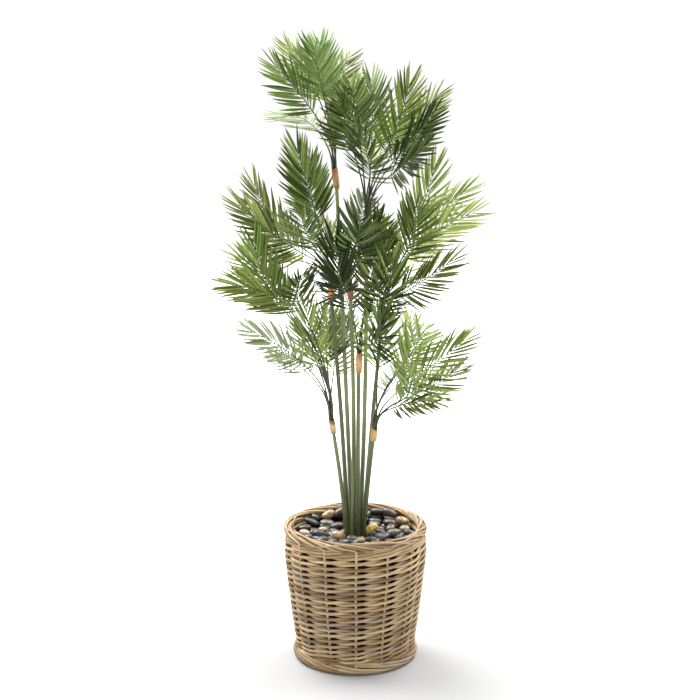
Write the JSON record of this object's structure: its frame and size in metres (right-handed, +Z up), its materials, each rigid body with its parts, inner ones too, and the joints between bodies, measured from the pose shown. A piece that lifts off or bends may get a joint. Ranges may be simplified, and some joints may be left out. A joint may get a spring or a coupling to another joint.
{
  "type": "artificial potted parlor palm",
  "caption": "Artificial parlor palm: slender green rods rise from a pebble-topped woven basket and fan into feathered fronds.",
  "frame": {"origin": "centre of the flat underside of the basket", "axes": "+Z up; +X to the right and +Y away from the viewer in the reference view"},
  "size_m": [0.6513, 0.5282, 1.5004],
  "materials": {
    "rattan": "split rattan, satin",
    "rattan_rim": "split rattan, satin",
    "filling": "rough",
    "river_stone": "water-worn, satin",
    "rod": "moulded, satin",
    "husk": "moulded, matte",
    "leaf_deep": "coated leaf, satin",
    "leaf_dark": "coated leaf, satin",
    "leaf_mid": "coated leaf, satin",
    "leaf_olive": "coated leaf, satin",
    "leaf_bright": "coated leaf, satin",
    "leaf_lime": "coated leaf, satin",
    "leaf_pale": "coated leaf, satin"
  },
  "bodies": {
    "root": {"basket": "rattan", "basket_rim": "rattan_rim", "filling": "filling", "pebbles": "river_stone", "rod_E": "rod", "husk_E": "husk", "rod_C": "rod", "husk_C": "husk", "rod_A": "rod", "husk_A": "husk", "rod_H": "rod", "husk_H": "husk", "rod_D": "rod", "husk_D": "husk", "rod_B": "rod", "husk_B": "husk", "rod_G": "rod", "husk_G": "husk", "rod_F": "rod", "husk_F": "husk", "frond_A1": "leaf_mid", "frond_A2": "leaf_olive", "frond_A3": "leaf_dark", "frond_A4": "leaf_lime", "frond_A5": "leaf_pale", "frond_B1": "leaf_mid", "frond_B2": "leaf_mid", "frond_B3": "leaf_olive", "frond_B4": "leaf_olive", "frond_B5": "leaf_dark", "frond_C1": "leaf_olive", "frond_C2": "leaf_lime", "frond_C3": "leaf_mid", "frond_C4": "leaf_dark", "frond_C5": "leaf_deep", "frond_E1": "leaf_olive", "frond_E2": "leaf_mid", "frond_E3": "leaf_mid", "frond_E4": "leaf_pale", "frond_E5": "leaf_olive", "frond_E6": "leaf_lime", "frond_H1": "leaf_deep", "frond_H2": "leaf_mid", "frond_H3": "leaf_lime", "frond_H4": "leaf_deep", "frond_G1": "leaf_olive", "frond_G2": "leaf_lime", "frond_G3": "leaf_olive", "frond_G4": "leaf_mid", "frond_G5": "leaf_lime", "frond_D1": "leaf_lime", "frond_D2": "leaf_mid", "frond_D3": "leaf_dark", "frond_D4": "leaf_mid", "frond_F1": "leaf_olive", "frond_F2": "leaf_olive", "frond_F3": "leaf_mid", "frond_F4": "leaf_lime", "frond_F5": "leaf_pale"}
  },
  "joints": []
}
